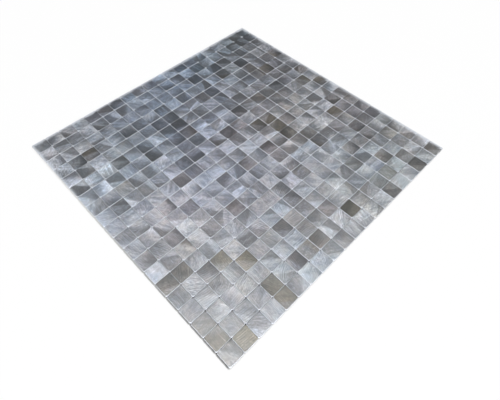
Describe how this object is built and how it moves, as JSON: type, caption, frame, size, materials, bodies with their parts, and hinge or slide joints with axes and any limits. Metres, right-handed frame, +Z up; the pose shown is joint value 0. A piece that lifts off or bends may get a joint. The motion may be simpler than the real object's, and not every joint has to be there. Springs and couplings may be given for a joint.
{
  "type": "mosaic tile sheet",
  "caption": "Square sheet of small polished shell chips in a close grid on a thin net backing, for bonding to a wall or floor.",
  "frame": {"origin": "under the middle of the sheet, on the plane that its back rests on", "axes": "+Z up out of the chips' polished faces, +X along a row of chips, +Y from row to row"},
  "size_m": [0.2998, 0.2998, 0.0024],
  "materials": {
    "shell": "polished",
    "net_backing": "matte"
  },
  "bodies": {
    "root": {"mesh_backing": "net_backing", "chip_row_01": "shell", "chip_row_02": "shell", "chip_row_03": "shell", "chip_row_04": "shell", "chip_row_05": "shell", "chip_row_06": "shell", "chip_row_07": "shell", "chip_row_08": "shell", "chip_row_09": "shell", "chip_row_10": "shell", "chip_row_11": "shell", "chip_row_12": "shell", "chip_row_13": "shell", "chip_row_14": "shell", "chip_row_15": "shell", "chip_row_16": "shell", "chip_row_17": "shell", "chip_row_18": "shell", "chip_row_19": "shell", "chip_row_20": "shell"}
  },
  "joints": []
}
